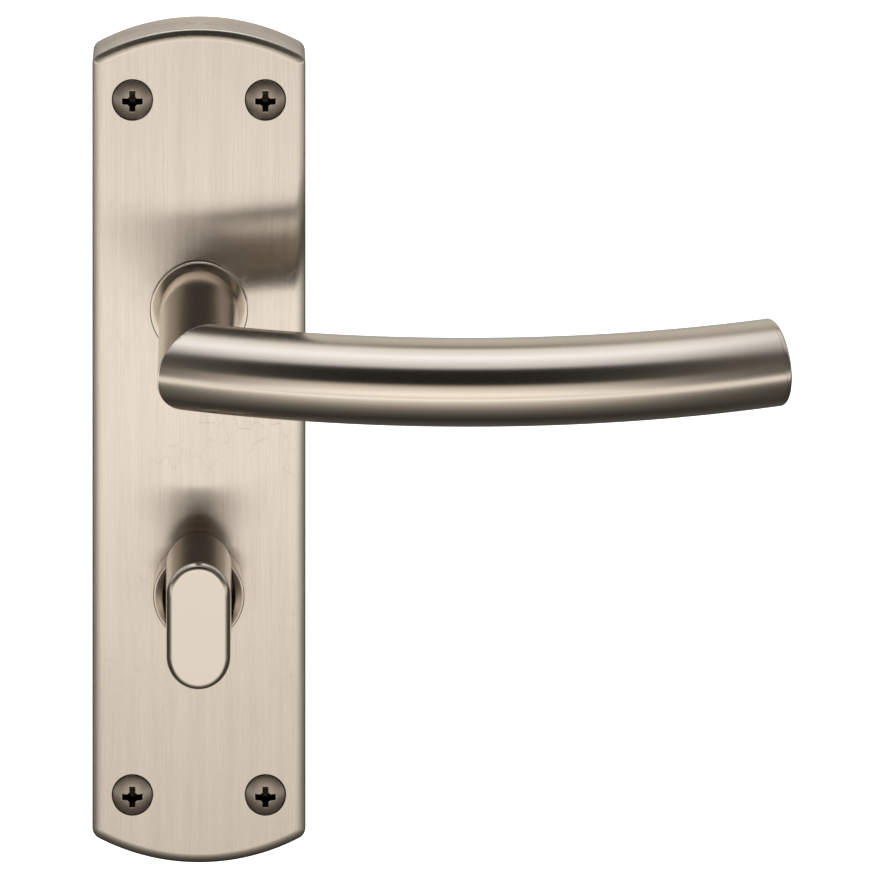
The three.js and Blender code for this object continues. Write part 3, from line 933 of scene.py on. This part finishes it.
@dataclass
class Lever:
    """The round-bar lever: neck, arched grip, end cap and the collar they turn in."""

    tube_radius: float = 8.1 * MM
    tube_wall: float = 1.5 * MM
    arc_radius: float = 215 * MM
    crown_x: float = 53.5 * MM
    crown_y: float = -41.9 * MM
    end_x: float = 115.8 * MM
    cap_thickness: float = 1.2 * MM
    cap_rounding: float = 0.55 * MM
    plug_length: float = 6 * MM
    seam: float = 0.02 * MM
    edge: float = 0.05 * MM
    facets: int = 112
    rough_length: float = 60 * MM
    rough_overlap: float = 20 * MM
    collar_lip: float = 0.3 * MM
    collar_spigot: float = 9.5 * MM

    @property
    def height(self) -> float:
        """The height of the lever's axis."""
        return frame["joints"][0]["pos_m"][2]

    @property
    def arc_centre(self) -> Vector:
        """The centre of the grip's arc."""
        return Vector((self.crown_x, self.crown_y + self.arc_radius, self.height))

    @property
    def mitre_angle(self) -> float:
        """The grip's heading at the mitre, from +X, in radians."""
        return math.asin(-self.crown_x / self.arc_radius)

    @property
    def end_angle(self) -> float:
        """The grip's heading at its end, from +X, in radians."""
        return math.asin((self.end_x - self.crown_x) / self.arc_radius)

    def along(self, angle: float) -> Vector:
        """A point on the grip's centre line.

        Args:
            angle: the heading there, in radians.

        Returns:
            The point.
        """
        out = Vector((math.sin(angle), -math.cos(angle), 0))
        return self.arc_centre + self.arc_radius * out

    def mitre_normal(self) -> Vector:
        """The mitre plane's normal, pointing along the grip."""
        heading = Vector((math.cos(self.mitre_angle), math.sin(self.mitre_angle), 0))
        return (Vector((0, -1, 0)) + heading).normalized()

    def trim(self, tube: bpy.types.Object, keep_grip: bool) -> None:
        """Cut a tube off at the mitre.

        Args:
            tube: the tube.
            keep_grip: keep the side along the grip, or the neck's side.
        """
        side = 1 if keep_grip else -1
        point = self.along(self.mitre_angle) + self.mitre_normal() * (side * self.seam / 2)
        open_mesh(tube)
        bpy.ops.mesh.select_all(action="SELECT")
        bpy.ops.mesh.bisect(
            plane_co=point,
            plane_no=self.mitre_normal(),
            clear_inner=keep_grip,
            clear_outer=not keep_grip,
        )
        close_mesh(tube)

    def finish_tube(self, tube: bpy.types.Object) -> None:
        """Give a tube its wall and soften its ends.

        Args:
            tube: the open tube.
        """
        fit_modifier(tube, "SOLIDIFY", thickness=self.tube_wall, offset=-1, use_even_offset=True)
        round_edges(tube, self.edge, 3)
        smooth_over(tube, 34)

    def build_neck(self) -> bpy.types.Object:
        """Draw the neck out of a ring and mitre it.

        Returns:
            The neck.
        """
        low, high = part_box("lever_neck")
        clear_bench()
        bpy.ops.mesh.primitive_circle_add(
            vertices=self.facets,
            radius=self.tube_radius,
            location=(0, high.y, self.height),
            rotation=(math.pi / 2, 0, 0),
        )
        neck = bpy.context.object
        neck.name = "neck_tube"
        bpy.ops.object.transform_apply(location=True, rotation=True, scale=True)
        bpy.ops.object.mode_set(mode="EDIT")
        bpy.ops.mesh.select_all(action="SELECT")
        bpy.ops.mesh.extrude_edges_move(
            TRANSFORM_OT_translate={"value": (0, -self.rough_length, 0)}
        )
        close_mesh(neck)
        self.trim(neck, False)
        self.finish_tube(neck)
        return neck

    def build_grip(self) -> bpy.types.Object:
        """Spin a ring along the grip's arc and mitre it.

        Returns:
            The grip.
        """
        first = self.mitre_angle - self.rough_overlap / self.arc_radius
        last = self.end_angle - self.cap_thickness / self.arc_radius
        clear_bench()
        bpy.ops.mesh.primitive_circle_add(
            vertices=self.facets,
            radius=self.tube_radius,
            location=self.along(first),
            rotation=(math.pi / 2, 0, first + math.pi / 2),
        )
        grip = bpy.context.object
        grip.name = "grip_tube"
        bpy.ops.object.transform_apply(location=True, rotation=True, scale=True)
        bpy.ops.object.mode_set(mode="EDIT")
        bpy.ops.mesh.select_all(action="SELECT")
        bpy.ops.mesh.spin(steps=84, angle=first - last, center=self.arc_centre, axis=(0, 0, 1))
        close_mesh(grip)
        self.trim(grip, True)
        self.finish_tube(grip)
        return grip

    def build_cap(self) -> bpy.types.Object:
        """Turn the end cap and set it square to the grip's end.

        Returns:
            The cap.
        """
        outer = self.tube_radius
        rounding = self.cap_rounding
        plug = outer - self.tube_wall - 0.1 * MM
        profile = [
            (0, -self.plug_length),
            (plug, -self.plug_length),
            (plug, -self.cap_thickness),
            (outer - 0.06 * MM, -self.cap_thickness),
            (outer, -self.cap_thickness + 0.06 * MM),
            *bend_arc((outer - rounding, -rounding), rounding, 0, 90, 6),
            (0, 0),
        ]
        cap = turn_on_lathe("grip_cap", profile, 0, self.facets)
        cap.rotation_euler = (0, 0, self.end_angle - math.pi / 2)
        cap.location = self.along(self.end_angle)
        pick_up(cap)
        bpy.ops.object.transform_apply(location=True, rotation=True, scale=True)
        smooth_over(cap, 34)
        return cap

    def build_collar(self) -> bpy.types.Object:
        """Turn the collar that the neck comes out of.

        Returns:
            The collar.
        """
        low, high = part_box("lever_collar")
        outer = high.x
        bore = self.tube_radius + 0.03 * MM
        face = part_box("cover_plate")[0].y - 0.03 * MM
        spigot = self.collar_spigot
        lip = outer - self.collar_lip
        reach = lip - bore
        dish = [
            (lip - reach * part, low.y + reach * (0.1 * part + 0.1 * part**2))
            for part in [step / 10 for step in range(10, -1, -1)]
        ]
        profile = [
            (bore, high.y),
            *dish,
            *bend_arc((lip, low.y + self.collar_lip), self.collar_lip, -75, 0, 5),
            (outer, face),
            (spigot, face),
            (spigot, high.y),
            (bore, high.y),
        ]
        collar = turn_on_lathe("neck_collar", profile, self.height, self.facets)
        smooth_over(collar, 34)
        return collar


# ------------------------------------------------------------------ thumb turn


@dataclass
class ThumbTurn:
    """The pill-shaped knob and the round collar behind it."""

    draft: float = 0.3 * MM
    edge_rounding: float = 1.35 * MM
    shank_radius: float = 4.7 * MM
    socket_width: float = 5.4 * MM
    grub_hole_radius: float = 1.8 * MM
    collar_edge: float = 0.3 * MM
    collar_bore: float = 6.2 * MM
    collar_roll: float = 1.4 * MM

    @property
    def height(self) -> float:
        """The height of the turn's axis."""
        return frame["joints"][1]["pos_m"][2]

    def build_knob(self) -> bpy.types.Object:
        """Press the knob's body, draft and round it, and draw out its shank.

        Returns:
            The knob.
        """
        low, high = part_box("turn_knob")
        half = high.x
        reach = (high.z - low.z) / 2 - half
        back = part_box("turn_collar")[0].y - 0.1 * MM
        outline = bend_arc((0, self.height + reach), half, 0, 180, 40)
        outline += bend_arc((0, self.height - reach), half, 180, 360, 40)
        knob = press_outline("turn_pill", outline, low.y, back)
        open_mesh(knob, "FACE")
        select_where(knob, "polygons", lambda f, m: f.normal.y < -FLAT)
        shrink = 1 - self.draft / half
        tall = 1 - self.draft / (reach + half)
        middle = (0, low.y, self.height)
        bpy.ops.transform.resize(value=(shrink, 1, tall), center_override=middle)
        bpy.ops.mesh.select_mode(type="EDGE")
        select_where(
            knob, "edges", lambda e, m: edge_lies(e, m, lambda p: p.y < low.y + MERGE_DISTANCE)
        )
        bpy.ops.mesh.bevel(offset=self.edge_rounding, segments=8, affect="EDGES")
        select_where(
            knob, "edges", lambda e, m: edge_lies(e, m, lambda p: p.y > back - MERGE_DISTANCE)
        )
        bpy.ops.mesh.bevel(offset=0.3 * MM, segments=3, affect="EDGES")
        close_mesh(knob)
        shank = [
            (0, back - 1 * MM),
            (self.shank_radius, back - 1 * MM),
            (self.shank_radius, high.y - 0.3 * MM),
            (self.shank_radius - 0.3 * MM, high.y),
            (0, high.y),
        ]
        stem = turn_on_lathe("turn_shank", shank, self.height, 64)
        fit_modifier(knob, "BOOLEAN", operation="UNION", solver="EXACT", object=stem)
        bpy.data.objects.remove(stem)
        clear_bench()
        bpy.ops.mesh.primitive_cube_add(size=1, location=(0, -8 * MM, self.height))
        socket = bpy.context.object
        socket.scale = (self.socket_width, 20 * MM, self.socket_width)
        carve(knob, socket)
        clear_bench()
        bpy.ops.mesh.primitive_cylinder_add(
            vertices=32,
            radius=self.grub_hole_radius,
            depth=19 * MM,
            location=(0, -15.2 * MM, self.height - 10.5 * MM),
        )
        carve(knob, bpy.context.object)
        smooth_over(knob, 30)
        return knob

    def build_collar(self) -> bpy.types.Object:
        """Turn the round collar.

        Returns:
            The collar.
        """
        low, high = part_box("turn_collar")
        outer = high.x
        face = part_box("cover_plate")[0].y - 0.03 * MM
        edge = self.collar_edge
        bore = self.collar_bore
        lip = outer - edge
        reach = lip - bore
        dish = [
            (lip - reach * part, low.y + self.collar_roll * (0.6 * part + 0.4 * part**2))
            for part in [step / 10 for step in range(10, -1, -1)]
        ]
        profile = [
            *dish,
            *bend_arc((lip, low.y + edge), edge, -75, 0, 5),
            (outer, face - 0.15 * MM),
            (outer - 0.15 * MM, face),
            (bore, face),
            (bore, low.y + self.collar_roll),
        ]
        collar = turn_on_lathe("turn_rose", profile, self.height, 112)
        smooth_over(collar, 34)
        return collar


# ------------------------------------------------------------------ stage


@dataclass(frozen=True)
class LightBand:
    """Soft light at one elevation: 0 is the front, 90 overhead, 180 the back and -90 below."""

    elevation: float
    level: float
    warmth: float = 0.5

    def colour(self) -> tuple[float, float, float, float]:
        """The band's light, from neutral to warm."""
        green = self.level * (1 - 0.09 * self.warmth)
        blue = self.level * (1 - 0.22 * self.warmth)
        return (self.level, green, blue, 1)


MIDDLE_LIGHT = (
    LightBand(-180, 0.44, 0.3),
    LightBand(-150, 0.12, 0.8),
    LightBand(-90, 0.035, 0.8),
    LightBand(-73, 0.08, 0.8),
    LightBand(-58, 0.17, 0.8),
    LightBand(-45, 0.37, 0.8),
    LightBand(-34, 0.66, 0.7),
    LightBand(-29, 0.88, 0.6),
    LightBand(-26, 1.0, 0.5),
    LightBand(-24.8, 1.36, 0.45),
    LightBand(-23, 1.32, 0.45),
    LightBand(-21.2, 0.8, 0.45),
    LightBand(-19.5, 0.84, 0.45),
    LightBand(-16, 1.05, 0.5),
    LightBand(-10, 1.22, 0.5),
    LightBand(6, 0.78, 0.8),
    LightBand(11, 0.5, 0.9),
    LightBand(15, 0.14, 0.9),
    LightBand(18, 0.016, 0.8),
    LightBand(52, 0.016, 0.8),
    LightBand(56, 0.12, 0.2),
    LightBand(61, 0.66, -0.1),
    LightBand(77, 0.98, -0.2),
    LightBand(89, 1.2, -0.35),
    LightBand(101, 1.0, 0.0),
    LightBand(115, 0.85, 0.2),
    LightBand(120, 0.4, 0.6),
    LightBand(127, 0.3, 0.8),
    LightBand(138, 0.52, 0.8),
    LightBand(158, 0.6, 0.6),
    LightBand(180, 0.44, 0.3),
)

SIDE_LIGHT = (
    LightBand(-180, 0.3, 0.6),
    LightBand(-150, 0.06, 1.0),
    LightBand(-100, 0.05, 1.0),
    LightBand(-70, 0.05, 0.9),
    LightBand(-50, 0.07, 0.9),
    LightBand(-40, 0.14, 0.9),
    LightBand(-33, 0.34, 0.8),
    LightBand(-26, 0.9, 0.5),
    LightBand(-18, 0.9, 0.5),
    LightBand(-9, 0.25, 0.8),
    LightBand(0, 0.12, 0.8),
    LightBand(50, 0.08, 0.8),
    LightBand(70, 0.5, 0.2),
    LightBand(100, 0.6, 0.2),
    LightBand(140, 0.4, 0.6),
    LightBand(180, 0.3, 0.6),
)


@dataclass
class Studio:
    """A pale floor, soft banded light and the camera."""

    view_width: float = 181.5 * MM
    aim: tuple[float, float] = (49.77 * MM, 1.46 * MM)
    brightness: float = 1.2
    side_start: float = 0.22
    side_end: float = 0.5
    floor_height: float = -0.16
    eye: Vector = field(default_factory=lambda: Vector((5.1 * MM, -908 * MM, 412 * MM)))

    def lay_floor(self) -> None:
        """Lay a plain pale floor well below the handle."""
        clear_bench()
        bpy.ops.mesh.primitive_plane_add(size=12, location=(0, 0, self.floor_height))
        floor = bpy.context.object
        floor.name = "floor"
        material = bpy.data.materials.new("pale_floor")
        material.use_nodes = True
        shader = material.node_tree.nodes["Principled BSDF"]
        shader.inputs["Base Color"].default_value = (0.9, 0.9, 0.9, 1)
        shader.inputs["Roughness"].default_value = 0.8
        shader.inputs["Emission Color"].default_value = (1, 1, 1, 1)
        shader.inputs["Emission Strength"].default_value = 1.0
        floor.data.materials.append(material)
        floor.visible_glossy = False
        floor.visible_diffuse = False

    def paint_bands(
        self,
        tree: bpy.types.NodeTree,
        turn: bpy.types.NodeSocket,
        bands: tuple[LightBand, ...],
    ) -> bpy.types.NodeSocket:
        """Spread a list of light bands over the turn from back, under, front and top to back.

        Args:
            tree: the world's node tree.
            turn: the socket that runs from 0 at the back, by the front at a half, to 1.
            bands: the light bands.

        Returns:
            The colour socket.
        """
        node = tree.nodes.new("ShaderNodeValToRGB")
        ramp = node.color_ramp
        ramp.elements.remove(ramp.elements[1])
        ramp.elements[0].position = 0
        ramp.elements[0].color = bands[0].colour()
        for band in bands[1:]:
            element = ramp.elements.new(band.elevation / 360 + 0.5)
            element.color = band.colour()
        tree.links.new(turn, node.inputs["Fac"])
        return node.outputs["Color"]

    def light(self) -> None:
        """Light the room with soft bands for reflections, and a white backdrop for the camera."""
        world = bpy.data.worlds.new("studio")
        world.use_nodes = True
        bpy.context.scene.world = world
        tree = world.node_tree
        way = tree.nodes.new("ShaderNodeSeparateXYZ")
        tree.links.new(tree.nodes.new("ShaderNodeTexCoord").outputs["Generated"], way.inputs[0])
        front = add_math(tree, "MULTIPLY", way.outputs["Y"], -1.0)
        angle = add_math(tree, "ARCTAN2", way.outputs["Z"], front)
        turn = add_math(tree, "ADD", add_math(tree, "MULTIPLY", angle, 0.5 / math.pi), 0.5)
        side = tree.nodes.new("ShaderNodeMapRange")
        side.interpolation_type = "SMOOTHSTEP"
        side.inputs["From Min"].default_value = self.side_start
        side.inputs["From Max"].default_value = self.side_end
        tree.links.new(add_math(tree, "ABSOLUTE", way.outputs["X"], 0.0), side.inputs["Value"])
        lit = tree.nodes.new("ShaderNodeMix")
        lit.data_type = "RGBA"
        tree.links.new(side.outputs["Result"], lit.inputs["Factor"])
        tree.links.new(self.paint_bands(tree, turn, MIDDLE_LIGHT), lit.inputs["A"])
        tree.links.new(self.paint_bands(tree, turn, SIDE_LIGHT), lit.inputs["B"])
        seen = tree.nodes.new("ShaderNodeMix")
        seen.data_type = "RGBA"
        seen.inputs["B"].default_value = (*[1 / self.brightness] * 3, 1)
        rays = tree.nodes.new("ShaderNodeLightPath").outputs
        tree.links.new(rays["Is Camera Ray"], seen.inputs["Factor"])
        tree.links.new(lit.outputs["Result"], seen.inputs["A"])
        background = tree.nodes["Background"]
        tree.links.new(seen.outputs["Result"], background.inputs["Color"])
        background.inputs["Strength"].default_value = self.brightness
        bpy.context.scene.view_settings.view_transform = "Standard"

    def set_camera(self) -> None:
        """Stand the camera above and in front, its picture plane kept parallel to the plate."""
        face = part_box("cover_plate")[0].y
        target = Vector((self.aim[0], face, self.aim[1]))
        back = self.eye - target
        reach = back.length
        back.normalize()
        data = bpy.data.cameras.new("camera")
        data.lens = data.sensor_width * reach / self.view_width
        data.clip_end = 50
        camera = bpy.data.objects.new("camera", data)
        bpy.context.scene.collection.objects.link(camera)
        stand = bpy.data.objects.new("camera_stand", None)
        bpy.context.scene.collection.objects.link(stand)
        camera.parent = stand
        camera.matrix_parent_inverse = Matrix(
            (
                (1, 0, back.x, self.eye.x),
                (0, 0, back.y, self.eye.y),
                (0, 1, back.z, self.eye.z),
                (0, 0, 0, 1),
            )
        )
        bpy.context.scene.camera = camera


# ------------------------------------------------------------------ assembly


def dress_hidden(shelf: FinishShelf) -> None:
    """Dress the pieces that stay as the frame has them.

    Args:
        shelf: the finishes.
    """
    finishes = {
        "support_frame": "die_cast",
        "lever_bush": "nylon",
        "turn_bush": "nylon",
        "cassette_cup": "zinc_plate",
        "cassette_lid": "zinc_plate",
        "cassette_screw_upper": "black_steel",
        "cassette_screw_lower": "black_steel",
        "lever_hub": "zinc_plate",
        "lever_grub_screw": "black_steel",
        "lever_spindle": "zinc_plate",
        "spring_driver": "zinc_plate",
        "return_spring": "spring_steel",
        "lever_circlip": "black_steel",
        "turn_washer": "zinc_plate",
        "turn_circlip": "black_steel",
        "turn_spindle": "zinc_plate",
        "turn_grub_screw": "black_steel",
    }
    for node, name in finishes.items():
        shelf.dress_node(node, name)


def main() -> None:
    """Build every piece in order."""
    logging.basicConfig(level=logging.INFO, format="%(message)s")
    shelf = FinishShelf()
    shelf.stock()
    shelf.dress(CoverPlate().build(), "satin_plate", "fixed", "cover_plate")
    # The screws' second material is painted shade: a near-black material for the cross recess walls.
    screw_metal_and_recess_shade = [shelf.made[name][0] for name in ("screw_nickel", "painted_recess_shade")]
    for screw in FixingScrews().build(screw_metal_and_recess_shade):
        shelf.dress(screw, "screw_nickel", "fixed", "fixing_" + screw.name)
    lever = Lever()
    shelf.dress(lever.build_neck(), "satin_neck", "lever", "lever_neck")
    shelf.dress(lever.build_grip(), "satin_grip", "lever", "lever_grip")
    shelf.dress(lever.build_cap(), "turned_nickel", "lever", "grip_end_cap")
    shelf.dress(lever.build_collar(), "turned_nickel", "fixed", "lever_collar")
    turn = ThumbTurn()
    shelf.dress(turn.build_knob(), "satin_knob", "thumb_turn", "turn_knob")
    shelf.dress(turn.build_collar(), "turned_nickel", "fixed", "turn_collar")
    dress_hidden(shelf)
    studio = Studio()
    studio.lay_floor()
    studio.light()
    studio.set_camera()


if __name__ == "__main__":
    main()
